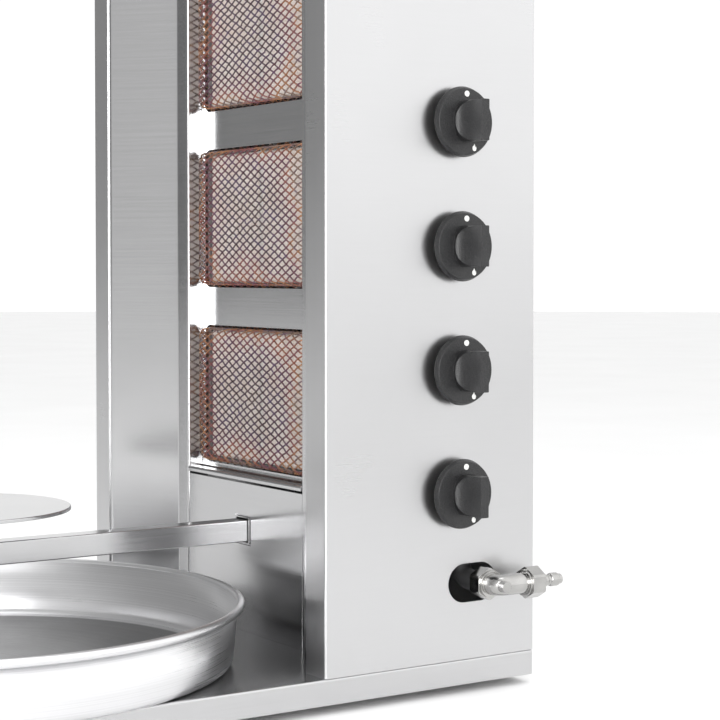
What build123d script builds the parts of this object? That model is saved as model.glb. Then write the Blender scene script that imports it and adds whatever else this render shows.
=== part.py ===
from build123d import *
import math
import os

# Vertical rotisserie broiler: a column with four gas infrared burners, a sliding
# spit frame with a motor-driven skewer, and a drip pan on a base tray.
# Modelled in millimetres, +Z up, the front of the machine facing -Y.
# Modelling datum: X = 0 on the column's middle plane, Y = 0 on the column's front
# flanges, Z = 0 on the worktop. save() moves everything so that the written origin
# is the middle of the whole machine's footprint, at worktop level.

# ---- driving dimensions -------------------------------------------------------
COLUMN_WIDTH = 432.0
COLUMN_DEPTH = 222.0
COLUMN_HEIGHT = 880.0
SHEET = 1.2

BASE_FRONT = 500.0          # how far the base tray reaches in front of the column
BASE_EDGE = 22.0            # height of the tray's folded edge
BASE_SHEET = 1.5
FOOT_GAP = 8.0              # daylight under the tray's folded edge
FOOT_RADIUS = 14.0
FOOT_INSET = 55.0

FLANGE_WIDTH = 30.0         # front return of each side panel
REAR_RETURN = 16.0
LID_EDGE = 16.0             # folded edge of the top cover
WING_START = 35.0           # distances inward from the column's side, and back from Y = 0
LAND_START = 91.0
LAND_END = 111.4
LAND_DEPTH = 46.5
WALL_DEPTH = 62.5           # front face of the burner wall
PANEL_DEPTH = 47.5          # front face of the lower and upper front panels

BURNER_COUNT = 4
BURNER_PITCH = 171.0
FIRST_BURNER = 219.0        # centre of the lowest burner above the tray's top
WINDOW_WIDTH = 198.0
WINDOW_HEIGHT = 134.0
MESH_RISE = 11.5            # how far the mesh domes forward of the wall
WALL_BOTTOM = 147.0         # fold lines of the burner wall above the tray's top
WALL_TOP = 808.0
WALL_LIP = 4.5
PANEL_GAP = 7.0             # from the wall's fold lines to the front panels
PLAQUE_WIDTH = 190.0
PLENUM_DEPTH = 31.0
NECK_X = 38.0
MIXER_Y = 110.5             # axis of the mixer tubes
MIXER_RADIUS = 11.0
SCREW_INSET = 9.0

KNOB_PITCH = 107.0
FIRST_KNOB = 146.5          # height above the tray's top
KNOB_Y = 135.5
KNOB_RADIUS = 30.3          # the flange tapers to its face
KNOB_FACE_RADIUS = 28.4
KNOB_DISC_START = 8.5       # distances out from the side panel
KNOB_DISC_END = 13.0
KNOB_TIP = 40.5
GRIP_REACH = 13.0           # half the grip's width at the flange
GRIP_RADIUS = 18.5
GRIP_BLADE = 8.0
GRIP_HEIGHT = 35.0
SPINDLE_RADIUS = 5.0
STEM_RADIUS = 4.0
STEM_END = 26.0             # stem's outer end, out from the side panel

GAS_Z = 67.0                # inlet height above the tray's top
GAS_Y = 160.0
GAS_HOLE_Y = 153.0
GAS_HOLE_LENGTH = 52.0
GAS_HOLE_HEIGHT = 34.0
MANIFOLD_X = 188.0
MANIFOLD_RADIUS = 9.0
NUT_FLATS = 25.0
TAIL_RIBS = [(211.0, 3.2, 5.4), (221.0, 5.2, 6.0)]  # place, half length and radius
ELBOW_OUT = 28.0            # elbow centre line out from the side panel
ELBOW_RADIUS = 9.0
HOSE_TAIL_END = 229.5       # rear end of the hose tail

ARM = 20.0                  # square tube of the spit frame
ARM_WALL = 1.5
GUIDE = 25.0
GUIDE_WALL = 1.2
GUIDE_LENGTH = 58.0
SLOT = 28.0
LOWER_ARM_Z = 96.0          # arm centre lines above the tray's top
UPPER_ARM_Z = 840.0
POST_Y = 110.0              # front face of the post that joins both arms
SPIT_Y = -239.0             # skewer axis in front of the column
CLAMP_Y = 78.0
ROD = 12.0                  # square part of the skewer
SEAT = ROD + 0.4
JOURNAL_RADIUS = 6.0
SOCKET_RADIUS = 14.0
SHAFT_RADIUS = 5.0

PAN_FLOOR_RADIUS = 237.0
PAN_RIM_RADIUS = 249.0      # outside of the rolled bead
PAN_HEIGHT = 52.5
PAN_SHEET = 1.5
PAN_BEAD = 3.6
PAN_LIFT = 0.3

HOOD_WIDTH = 124.0
HOOD_DEPTH = 150.0
HOOD_HEIGHT = 92.0
GLAND_X = 38.0
GLAND_BORE = 3.75
SWITCH_TILT = 8.0           # the rocker's rest angle, off

# ---- worked-out levels and places ----------------------------------------------
HALF = COLUMN_WIDTH / 2
BASE_TOP = FOOT_GAP + BASE_EDGE
COLUMN_TOP = BASE_TOP + COLUMN_HEIGHT
ELBOW_X = HALF + ELBOW_OUT
X_MIN = -PAN_RIM_RADIUS
X_MAX = ELBOW_X + NUT_FLATS / 2
ORIGIN_X = (X_MIN + X_MAX) / 2
ORIGIN_Y = (HOSE_TAIL_END - BASE_FRONT) / 2
LOW_Z = BASE_TOP + LOWER_ARM_Z
HIGH_Z = BASE_TOP + UPPER_ARM_Z
BURNER_Z = [BASE_TOP + FIRST_BURNER + i * BURNER_PITCH for i in range(BURNER_COUNT)]
KNOB_Z = [BASE_TOP + FIRST_KNOB + i * KNOB_PITCH for i in range(BURNER_COUNT)]
INLET_Z = BASE_TOP + GAS_Z
SIDE_INNER = HALF - SHEET
SCREW_Z = [BASE_TOP + z for z in (20, 300, 580, 860)]
RISER_X = [MANIFOLD_X - 10, MANIFOLD_X - 22, MANIFOLD_X - 10, MANIFOLD_X]
INLET_NUT = (HALF + 3.5, HALF + 16.5)
OUTLET_NUT = (189.5, 203.0)
SPIT_BACK = SPIT_Y - 16.0
UPPER_ARM_FRONT = SPIT_Y + 34.0
CUP_FLOOR = LOW_Z + ARM / 2 + 6.0
CUP_TOP = CUP_FLOOR + 16.0
SOCKET_BOTTOM = HIGH_Z - 38.0
PLATE_TOP = HIGH_Z + ARM / 2 + 3.0
SWITCH_Z = PLATE_TOP + 46.0
GLAND_Z = PLATE_TOP + 62.0  # above the column's top, so the cord has a free way back
HOOD_REAR = SPIT_Y + HOOD_DEPTH / 2

os.makedirs("parts", exist_ok=True)


# ---- helpers -------------------------------------------------------------------
def save(name, *solids):
    """Write one node, moved from the modelling datum to the footprint's middle."""
    shape = solids[0] if len(solids) == 1 else Compound(children=list(solids))
    export_step(Pos(-ORIGIN_X, -ORIGIN_Y, 0) * shape, f"parts/{name}.step")


def block(x0, x1, y0, y1, z0, z1):
    """A box between two corners."""
    centre = Pos((x0 + x1) / 2, (y0 + y1) / 2, (z0 + z1) / 2)
    return centre * Box(x1 - x0, y1 - y0, z1 - z0)


def rod_x(radius, x0, x1, y, z):
    """A cylinder along X."""
    return Pos((x0 + x1) / 2, y, z) * Rot(0, 90, 0) * Cylinder(radius, x1 - x0)


def rod_y(radius, y0, y1, x, z):
    """A cylinder along Y."""
    return Pos(x, (y0 + y1) / 2, z) * Rot(90, 0, 0) * Cylinder(radius, y1 - y0)


def rod_z(radius, z0, z1, x, y):
    """A cylinder along Z."""
    return Pos(x, y, (z0 + z1) / 2) * Cylinder(radius, z1 - z0)


def hexagon(flats):
    """A hexagon with two corners on its local Y axis, given its size across flats."""
    return RegularPolygon(flats / math.sqrt(3), 6, rotation=30)


def folded_sheet(points, thickness, bend, side):
    """The closed outline of a bent sheet whose one face follows the points."""
    path = FilletPolyline(*points, radius=bend)
    return make_face(offset(path, amount=thickness, side=side).edges())


def upright(outline, z0, z1):
    """A plan outline raised between two levels."""
    return Pos(0, 0, z0) * extrude(outline, amount=z1 - z0)


def mirrored(solid):
    """The same solid on the other side of the column's middle plane."""
    return mirror(solid, about=Plane.YZ)


def square_tube_y(size, wall, y0, y1, z):
    """A square tube along Y on the middle plane, open at both ends."""
    half = size / 2
    outer = block(-half, half, y0, y1, z - half, z + half)
    outer = fillet(outer.edges().filter_by(Axis.Y), 1.0)
    inner = block(-half + wall, half - wall, y0 - 1, y1 + 1, z - half + wall, z + half - wall)
    return outer - inner


# ---- base ------------------------------------------------------------------------
def base_tray():
    """A plate with its four edges folded down, open below."""
    tray = block(-HALF, HALF, -BASE_FRONT, COLUMN_DEPTH, FOOT_GAP, BASE_TOP)
    tray = fillet(tray.edges().filter_by(Axis.Z), 3.0)
    tray = fillet(tray.faces().sort_by(Axis.Z)[-1].edges(), 2.0)
    hollow = block(
        -HALF + BASE_SHEET, HALF - BASE_SHEET,
        -BASE_FRONT + BASE_SHEET, COLUMN_DEPTH - BASE_SHEET,
        FOOT_GAP - 1, BASE_TOP - BASE_SHEET,
    )
    hollow = fillet(hollow.edges().filter_by(Axis.Z), 1.6)
    return tray - hollow


def base_feet():
    """Four rubber feet under the tray's plate."""
    feet = []
    for x in (-HALF + FOOT_INSET, HALF - FOOT_INSET):
        for y in (-BASE_FRONT + FOOT_INSET, COLUMN_DEPTH - FOOT_INSET):
            foot = rod_z(FOOT_RADIUS, 0, BASE_TOP - BASE_SHEET, x, y)
            foot = chamfer(foot.edges().sort_by(Axis.Z)[0], 1.5)
            feet.append(foot)
    return feet


# ---- column shell ----------------------------------------------------------------
def side_shell():
    """The right side panel's sheet with its front and rear returns."""
    points = [
        (HALF - FLANGE_WIDTH, 0),
        (HALF, 0),
        (HALF, COLUMN_DEPTH),
        (HALF - REAR_RETURN, COLUMN_DEPTH),
    ]
    outline = folded_sheet(points, SHEET, 2.0, Side.LEFT)
    shell = upright(outline, BASE_TOP, COLUMN_TOP)
    for z in SCREW_Z:
        shell -= rod_y(2.2, COLUMN_DEPTH - 4, COLUMN_DEPTH + 1, HALF - SCREW_INSET, z)
    return shell


def right_side_panel():
    """The control side: spindle holes and the obround gas hole."""
    panel = side_shell()
    for z in KNOB_Z:
        panel -= rod_x(7.0, HALF - 3, HALF + 1, KNOB_Y, z)
    slot = SlotOverall(GAS_HOLE_LENGTH, GAS_HOLE_HEIGHT)
    plane = Plane(origin=(HALF - 3, GAS_HOLE_Y, INLET_Z), x_dir=(0, 1, 0), z_dir=(1, 0, 0))
    return panel - extrude(plane * slot, amount=5)


def reflector():
    """The right reflector: hidden tab, slanted wing, flat land and return fold."""
    points = [
        (HALF - 12, SHEET),
        (HALF - WING_START, SHEET),
        (HALF - LAND_START, LAND_DEPTH),
        (HALF - LAND_END, LAND_DEPTH),
        (HALF - LAND_END, WALL_DEPTH + 6),
    ]
    outline = folded_sheet(points, SHEET, 2.2, Side.RIGHT)
    return upright(outline, BASE_TOP, COLUMN_TOP - LID_EDGE - 0.5)


def rear_cover():
    """A removable back sheet with rows of vent slots."""
    y0 = COLUMN_DEPTH
    cover = block(-HALF + 3, HALF - 3, y0, y0 + SHEET, BASE_TOP + 4, COLUMN_TOP - 4)
    cover = fillet(cover.edges().filter_by(Axis.Y), 3.0)
    plane = Plane(origin=(0, y0 - 1, 0), x_dir=(-1, 0, 0), z_dir=(0, 1, 0))
    low_rows = [BASE_TOP + 90 + 14 * i for i in range(6)]
    high_rows = [BASE_TOP + 730 + 14 * i for i in range(8)]
    for z in low_rows + high_rows:
        for x in (-100, 0, 100):
            cover -= extrude(plane * Pos(x, z) * SlotOverall(70, 5), amount=4)
    for x in (-HALF + SCREW_INSET, HALF - SCREW_INSET):
        for z in SCREW_Z:
            cover -= rod_y(2.2, y0 - 1, y0 + 3, x, z)
    return cover


def cover_screws():
    """Eight pan-head screws that hold the rear cover."""
    screws = []
    y0 = COLUMN_DEPTH + SHEET
    for x in (-HALF + SCREW_INSET, HALF - SCREW_INSET):
        for z in SCREW_Z:
            head = rod_y(4.0, y0, y0 + 2.4, x, z)
            head = fillet(head.edges().sort_by(Axis.Y)[-1], 1.2)
            screws.append(head + rod_y(2.0, y0 - 8, y0, x, z))
    return screws


def top_cover():
    """A lid with its edges folded down inside the column's panels."""
    gap = 0.3
    x1 = SIDE_INNER - gap
    z0 = COLUMN_TOP - LID_EDGE
    lid = block(-x1, x1, SHEET + 2.5, COLUMN_DEPTH - SHEET - gap, z0, COLUMN_TOP)
    lid = fillet(lid.faces().sort_by(Axis.Z)[-1].edges(), 1.6)
    hollow = block(
        -x1 + SHEET, x1 - SHEET, 2 * SHEET + 2.5, COLUMN_DEPTH - 2 * SHEET - gap,
        z0 - 1, COLUMN_TOP - SHEET,
    )
    lid -= hollow
    return lid - rod_z(6.0, COLUMN_TOP - 4, COLUMN_TOP + 1, 0, CLAMP_Y)


def burner_wall():
    """The sheet between the reflectors: four windows, ledges and lips top and bottom."""
    half = HALF - LAND_END - 0.5
    low = BASE_TOP + WALL_BOTTOM
    high = BASE_TOP + WALL_TOP
    front = LAND_DEPTH - 0.6
    points = [
        (front, low - WALL_LIP),
        (front, low),
        (WALL_DEPTH, low),
        (WALL_DEPTH, high),
        (front, high),
        (front, high + WALL_LIP),
    ]
    plane = Plane(origin=(-half, 0, 0), x_dir=(0, 1, 0), z_dir=(1, 0, 0))
    wall = extrude(plane * folded_sheet(points, SHEET, 2.0, Side.RIGHT), amount=2 * half)
    for z in BURNER_Z:
        window = block(
            -WINDOW_WIDTH / 2, WINDOW_WIDTH / 2, WALL_DEPTH - 3, WALL_DEPTH + 4,
            z - WINDOW_HEIGHT / 2, z + WINDOW_HEIGHT / 2,
        )
        wall -= fillet(window.edges().filter_by(Axis.Y), 10.0)
    return wall


def front_panel(z0, z1, slot_z):
    """A flat panel between the reflectors with the slot for one arm's guide."""
    half = HALF - LAND_END - 0.5
    panel = block(-half, half, PANEL_DEPTH, PANEL_DEPTH + SHEET, z0, z1)
    slot = block(
        -SLOT / 2, SLOT / 2, PANEL_DEPTH - 1, PANEL_DEPTH + 3, slot_z - SLOT / 2, slot_z + SLOT / 2
    )
    return panel - slot


# ---- burners ---------------------------------------------------------------------
def burner_mesh(z):
    """The wire screen as a thin crowned shell with a flat border behind the wall."""
    back = WALL_DEPTH + SHEET + 1.4
    plane = Plane(origin=(0, back, z), x_dir=(1, 0, 0), z_dir=(0, -1, 0))
    width = WINDOW_WIDTH - 4
    height = WINDOW_HEIGHT - 6
    rise = MESH_RISE + SHEET + 1.4
    outer = extrude(plane * RectangleRounded(width, height, 12), amount=rise)
    outer = fillet(outer.faces().sort_by(Axis.Y)[0].edges(), 7.0)
    inner = extrude(plane * RectangleRounded(width - 2.4, height - 2.4, 10.8), amount=rise - 1.2)
    inner = fillet(inner.faces().sort_by(Axis.Y)[0].edges(), 5.8)
    border = extrude(plane * RectangleRounded(WINDOW_WIDTH + 3, WINDOW_HEIGHT + 8, 4), amount=1.2)
    return outer + border - inner


def burner_plaque(z):
    """The perforated ceramic plate behind the screen, as a plain slab."""
    y0 = WALL_DEPTH + SHEET + 4.0
    plaque = block(-PLAQUE_WIDTH / 2, PLAQUE_WIDTH / 2, y0, y0 + 13, z - 62, z + 62)
    return fillet(plaque.edges().filter_by(Axis.Y), 3.0)


def burner_plenum(z):
    """The pressed box that feeds gas and air to the plaque from behind."""
    y0 = WALL_DEPTH + SHEET + 1.6
    y1 = y0 + PLENUM_DEPTH
    half = PLAQUE_WIDTH / 2 + 2
    box = block(-half, half, y0, y1, z - 64, z + 64)
    box = fillet(box.edges().filter_by(Axis.Y), 5.0)
    box = fillet(box.faces().sort_by(Axis.Y)[-1].edges(), 4.0)
    hollow = block(-half + 1.4, half - 1.4, y0 - 1, y1 - SHEET, z - 62.6, z + 62.6)
    hollow = fillet(hollow.edges().filter_by(Axis.Y), 3.6)
    return box - hollow - rod_y(8.0, y1 - 4, y1 + 2, NECK_X, z)


def mixer_tube(z):
    """The Venturi tube: a bell mouth on the right and a neck into the plenum."""
    y_plenum = WALL_DEPTH + SHEET + 1.6 + PLENUM_DEPTH
    body = rod_x(MIXER_RADIUS, 20, 122, MIXER_Y, z)
    bell = Pos(128, MIXER_Y, z) * Rot(0, 90, 0) * Cone(MIXER_RADIUS, 14.0, 12)
    neck = rod_y(9.0, y_plenum, MIXER_Y, NECK_X, z)
    bore = rod_x(MIXER_RADIUS - 1.2, 21.2, 122, MIXER_Y, z)
    flare = Pos(128, MIXER_Y, z) * Rot(0, 90, 0) * Cone(MIXER_RADIUS - 1.2, 12.8, 12)
    passage = rod_y(7.8, y_plenum - 1, MIXER_Y, NECK_X, z)
    return body + bell + neck - bore - flare - passage


def gas_feed(tap_z, burner_z, riser_x):
    """One injector with the bent feed line from its tap."""
    tap_x = MANIFOLD_X
    start = (tap_x, KNOB_Y - 13.5, tap_z)
    points = [start, (tap_x, MIXER_Y, tap_z)]
    if riser_x != tap_x:
        points.append((riser_x, MIXER_Y, tap_z))
    points += [(riser_x, MIXER_Y, burner_z), (150, MIXER_Y, burner_z)]
    path = FilletPolyline(*points, radius=4.5)
    section = Plane(origin=path @ 0, z_dir=path % 0) * Circle(3)
    line = sweep(section, path=path)
    nut_plane = Plane(origin=(139, MIXER_Y, burner_z), x_dir=(0, 1, 0), z_dir=(1, 0, 0))
    injector = extrude(nut_plane * hexagon(11), amount=11.5)
    return line + injector - rod_x(0.8, 138, 148, MIXER_Y, burner_z)


# ---- gas supply ------------------------------------------------------------------
def gas_manifold():
    """The upright supply pipe that turns out through the side panel."""
    top = KNOB_Z[-1] + 25
    path = FilletPolyline(
        (MANIFOLD_X, GAS_Y, top), (MANIFOLD_X, GAS_Y, INLET_Z), (HALF + 8, GAS_Y, INLET_Z), radius=16
    )
    section = Plane(origin=path @ 0, z_dir=path % 0) * Circle(MANIFOLD_RADIUS)
    pipe = sweep(section, path=path)
    for z in KNOB_Z:
        pipe += rod_y(6.0, KNOB_Y + 11.5, GAS_Y, MANIFOLD_X, z)
    return pipe


def tap_body(z):
    """A brass tap: barrel along X, gas in from behind, gas out towards the burner."""
    body = rod_x(11.0, MANIFOLD_X - 14, MANIFOLD_X + 17, KNOB_Y, z)
    body += rod_x(8.5, MANIFOLD_X + 17, SIDE_INNER - 0.6, KNOB_Y, z)
    body += rod_y(8.5, KNOB_Y, KNOB_Y + 11.5, MANIFOLD_X, z)
    body += rod_y(6.0, KNOB_Y - 13.5, KNOB_Y, MANIFOLD_X, z)
    return body - rod_x(SPINDLE_RADIUS + 0.05, MANIFOLD_X - 8, HALF, KNOB_Y, z)


def d_section(radius, flat, x0, x1, z):
    """A round bar along X with one flat on its upper side."""
    bar = rod_x(radius, x0, x1, KNOB_Y, z)
    return bar - block(x0 - 1, x1 + 1, KNOB_Y - 10, KNOB_Y + 10, z + flat, z + 10)


def tap_spindle(z):
    """The turning plug of one tap with its D-shaped stem."""
    plug = rod_x(SPINDLE_RADIUS, MANIFOLD_X - 7, HALF + 2, KNOB_Y, z)
    return plug + d_section(STEM_RADIUS, 2.5, HALF + 2, HALF + STEM_END, z)


def knob(z):
    """A flanged knob whose grip is scooped on both sides to a flat blade."""
    deep = KNOB_DISC_END - KNOB_DISC_START
    middle = Pos(HALF + KNOB_DISC_START + deep / 2, KNOB_Y, z) * Rot(0, 90, 0)
    disc = middle * Cone(KNOB_RADIUS, KNOB_FACE_RADIUS, deep)
    disc = fillet(disc.edges().group_by(Axis.X)[-1], 0.8)
    start = HALF + KNOB_DISC_END - 1
    base = Plane(origin=(start, KNOB_Y, z), x_dir=(0, 1, 0), z_dir=(1, 0, 0))
    grip = extrude(base * Ellipse(GRIP_REACH, GRIP_RADIUS), amount=HALF + KNOB_TIP - start)
    grip = fillet(grip.edges().group_by(Axis.X)[-1], 1.0)
    limit = block(
        HALF, HALF + KNOB_TIP, KNOB_Y - 30, KNOB_Y + 30, z - GRIP_HEIGHT / 2, z + GRIP_HEIGHT / 2
    )
    grip = grip & limit
    scoop = GRIP_REACH + 2.0 - GRIP_BLADE / 2
    deep = KNOB_TIP - KNOB_DISC_END
    for side in (-1, 1):
        centre_y = KNOB_Y + side * (GRIP_BLADE / 2 + scoop)
        ellipse = Plane(
            origin=(HALF + KNOB_TIP, centre_y, z - 30), x_dir=(1, 0, 0), z_dir=(0, 0, 1)
        ) * Ellipse(deep - 2.0, scoop)
        grip -= extrude(ellipse, amount=60)
    body = disc + grip
    bore = d_section(STEM_RADIUS + 0.1, 2.6, HALF, HALF + STEM_END + 4.0, z)
    return body - bore


def hex_nut_x(x0, x1, bore):
    """A hexagon union nut along X on the gas inlet's axis."""
    plane = Plane(origin=(x0, GAS_Y, INLET_Z), x_dir=(0, 1, 0), z_dir=(1, 0, 0))
    nut = extrude(plane * hexagon(NUT_FLATS), amount=x1 - x0)
    nut &= rod_x(NUT_FLATS / math.sqrt(3) - 0.6, x0, x1, GAS_Y, INLET_Z)
    return nut - rod_x(bore, x0 - 1, x1 + 1, GAS_Y, INLET_Z)


def hex_nut_y(y0, y1, bore):
    """A hexagon union nut along Y on the elbow's outlet axis."""
    plane = Plane(origin=(ELBOW_X, y0, INLET_Z), x_dir=(-1, 0, 0), z_dir=(0, 1, 0))
    nut = extrude(plane * hexagon(NUT_FLATS), amount=y1 - y0)
    nut &= rod_y(NUT_FLATS / math.sqrt(3) - 0.6, y0, y1, ELBOW_X, INLET_Z)
    return nut - rod_y(bore, y0 - 1, y1 + 1, ELBOW_X, INLET_Z)


def gas_elbow():
    """The elbow between both nuts, with collars under the nuts and a small boss."""
    x_face = INLET_NUT[0] + 4.6
    path = FilletPolyline(
        (x_face, GAS_Y, INLET_Z), (ELBOW_X, GAS_Y, INLET_Z), (ELBOW_X, OUTLET_NUT[1] - 3, INLET_Z),
        radius=9,
    )
    section = Plane(origin=path @ 0, z_dir=path % 0) * Circle(ELBOW_RADIUS)
    body = sweep(section, path=path)
    body += rod_x(11.6, INLET_NUT[1], INLET_NUT[1] + 2.2, GAS_Y, INLET_Z)
    body += rod_x(4.8, ELBOW_X, ELBOW_X + ELBOW_RADIUS + 2.2, GAS_Y + 1.0, INLET_Z)
    body += rod_y(11.6, OUTLET_NUT[0] - 2.2, OUTLET_NUT[0], ELBOW_X, INLET_Z)
    return body


def hose_tail():
    """The ribbed hose tail behind the second nut."""
    y0 = OUTLET_NUT[1] - 2.9
    tail = rod_y(4.6, y0, HOSE_TAIL_END, ELBOW_X, INLET_Z)
    tail = fillet(tail.edges().group_by(Axis.Y)[-1], 1.4)
    tail += rod_y(ELBOW_RADIUS - 0.1, y0, OUTLET_NUT[1] + 0.8, ELBOW_X, INLET_Z)
    for y, reach, radius in TAIL_RIBS:
        rib = rod_y(radius, y - reach, y + reach, ELBOW_X, INLET_Z)
        tail += fillet(rib.edges().filter_by(GeomType.CIRCLE), 2.6)
    return tail - rod_y(2.6, y0 - 1, HOSE_TAIL_END + 1, ELBOW_X, INLET_Z)


# ---- spit frame --------------------------------------------------------------------
def lower_arm():
    """The lower arm, closed at its front end."""
    arm = square_tube_y(ARM, ARM_WALL, SPIT_BACK, POST_Y, LOW_Z)
    half = ARM / 2 - ARM_WALL
    plug = block(-half, half, SPIT_BACK, SPIT_BACK + 2, LOW_Z - half, LOW_Z + half)
    return arm + plug


def upper_arm():
    """The upper arm with the motor plate welded on its front end."""
    arm = square_tube_y(ARM, ARM_WALL, UPPER_ARM_FRONT, POST_Y, HIGH_Z)
    half_w = HOOD_WIDTH / 2 - 1.5
    y0 = SPIT_Y - HOOD_DEPTH / 2 + 1.5
    plate = block(-half_w, half_w, y0, y0 + HOOD_DEPTH - 3, PLATE_TOP - 3, PLATE_TOP)
    plate = fillet(plate.edges().filter_by(Axis.Z), 5.0)
    return arm + plate - rod_z(8.0, PLATE_TOP - 5, PLATE_TOP + 1, 0, SPIT_Y)


def arm_post():
    """The upright square tube inside the column that joins both arms."""
    half = ARM / 2
    z0 = LOW_Z - half
    z1 = HIGH_Z + half
    post = block(-half, half, POST_Y, POST_Y + ARM, z0, z1)
    post = fillet(post.edges().filter_by(Axis.Z), 1.0)
    inner = half - ARM_WALL
    middle = POST_Y + half
    return post - block(-inner, inner, middle - inner, middle + inner, z0 - 1, z1 + 1)


def arm_guide(z):
    """A guide sleeve through a front panel's slot, with its fixing plate behind."""
    half = GUIDE / 2
    front = PANEL_DEPTH - 1.0
    rear = front + GUIDE_LENGTH
    tube = block(-half, half, front, rear, z - half, z + half)
    tube = fillet(tube.edges().filter_by(Axis.Y), 1.0)
    y0 = PANEL_DEPTH + SHEET
    tube += block(-34, 34, y0, y0 + 1.5, z - 21, z + 21)
    inner = half - GUIDE_WALL
    return tube - block(-inner, inner, front - 1, rear + 1, z - inner, z + inner)


def arm_guides():
    """Both sleeves, the upper one with the clamp screw's welded nut."""
    upper = arm_guide(HIGH_Z)
    top = HIGH_Z + GUIDE / 2
    plane = Plane(origin=(0, CLAMP_Y, top - 0.2))
    upper += extrude(plane * hexagon(13), amount=7)
    upper -= rod_z(4.1, HIGH_Z + ARM / 2, top + 10, 0, CLAMP_Y)
    return [arm_guide(LOW_Z), upper]


def clamp_screw():
    """The star-knob screw that clamps the upper arm in its guide."""
    z0 = HIGH_Z + ARM / 2 + 0.6
    z_knob = COLUMN_TOP + 9.0
    stem = rod_z(4.0, z0, z_knob, 0, CLAMP_Y)
    grip = rod_z(18.0, z_knob, z_knob + 16, 0, CLAMP_Y)
    grip = fillet(grip.edges().group_by(Axis.Z)[-1], 4.0)
    for i in range(6):
        angle = math.radians(60 * i + 30)
        x = 21.5 * math.cos(angle)
        y = CLAMP_Y + 21.5 * math.sin(angle)
        grip -= rod_z(7.0, z_knob - 1, z_knob + 17, x, y)
    hub = rod_z(8.0, z_knob - 3, z_knob, 0, CLAMP_Y)
    return stem + grip + hub


def lower_bearing():
    """The cup on the lower arm that carries the skewer's journal."""
    z0 = LOW_Z + ARM / 2
    cup = rod_z(13.0, z0, CUP_TOP, 0, SPIT_Y) + rod_z(16.0, z0, z0 + 3, 0, SPIT_Y)
    return cup - rod_z(JOURNAL_RADIUS + 0.05, CUP_FLOOR, CUP_TOP + 1, 0, SPIT_Y)


def skewer_rod():
    """A square rod with a turned journal and collar at its foot."""
    z_collar = CUP_TOP + 1.0
    rod = rod_z(JOURNAL_RADIUS, CUP_FLOOR + 0.5, z_collar, 0, SPIT_Y)
    rod += rod_z(11.0, z_collar, z_collar + 6, 0, SPIT_Y)
    half = ROD / 2
    square = block(-half, half, SPIT_Y - half, SPIT_Y + half, z_collar + 6, SOCKET_BOTTOM + 18)
    return rod + chamfer(square.edges().group_by(Axis.Z)[-1], 2.0)


def meat_plate():
    """The round plate under the meat, on a squared hub."""
    z0 = CUP_TOP + 7.0
    plate = rod_z(100.0, z0, z0 + 3, 0, SPIT_Y)
    plate = fillet(plate.edges().group_by(Axis.Z)[-1], 1.0)
    plate += rod_z(18.0, z0, z0 + 16, 0, SPIT_Y)
    half = SEAT / 2
    return plate - block(-half, half, SPIT_Y - half, SPIT_Y + half, z0 - 1, z0 + 20)


def drive_socket():
    """The output shaft with a square socket that grips the skewer's top."""
    socket = rod_z(SOCKET_RADIUS, SOCKET_BOTTOM, PLATE_TOP - 6, 0, SPIT_Y)
    socket = chamfer(socket.edges().group_by(Axis.Z)[0], 2.0)
    half = SEAT / 2
    socket -= block(
        -half, half, SPIT_Y - half, SPIT_Y + half, SOCKET_BOTTOM - 1, SOCKET_BOTTOM + 20
    )
    return socket + rod_z(SHAFT_RADIUS, PLATE_TOP - 6, PLATE_TOP + 24, 0, SPIT_Y)


def gearmotor():
    """The gearbox on the motor plate with the motor can on top."""
    box = block(-38, 38, SPIT_Y - 38, SPIT_Y + 38, PLATE_TOP, PLATE_TOP + 32)
    box = fillet(box.edges().filter_by(Axis.Z), 8.0)
    can = rod_z(29.0, PLATE_TOP + 32, PLATE_TOP + 76, 0, SPIT_Y)
    can = fillet(can.edges().group_by(Axis.Z)[-1], 4.0)
    return box + can - rod_z(SHAFT_RADIUS + 0.05, PLATE_TOP - 1, PLATE_TOP + 26, 0, SPIT_Y)


def motor_hood():
    """The folded hood over the gearmotor, open below."""
    half = HOOD_WIDTH / 2
    y0 = HOOD_REAR - HOOD_DEPTH
    z0 = PLATE_TOP - 8.0
    z1 = PLATE_TOP + HOOD_HEIGHT
    hood = block(-half, half, y0, HOOD_REAR, z0, z1)
    hood = fillet(hood.edges().filter_by(Axis.Z), 6.0)
    hood = fillet(hood.faces().sort_by(Axis.Z)[-1].edges(), 4.0)
    inner = half - SHEET
    hollow = block(-inner, inner, y0 + SHEET, HOOD_REAR - SHEET, z0 - 1, z1 - SHEET)
    hollow = fillet(hollow.edges().filter_by(Axis.Z), 4.8)
    hood -= fillet(hollow.faces().sort_by(Axis.Z)[-1].edges(), 2.8)
    hood -= block(half - 3, half + 1, SPIT_Y - 8, SPIT_Y + 8, SWITCH_Z - 13, SWITCH_Z + 13)
    hood -= rod_y(6.2, HOOD_REAR - 3, HOOD_REAR + 1, GLAND_X, GLAND_Z)
    arm_gap = GUIDE / 2
    return hood - block(-arm_gap, arm_gap, HOOD_REAR - 3, HOOD_REAR + 1, z0 - 1, PLATE_TOP - 2.8)


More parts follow.
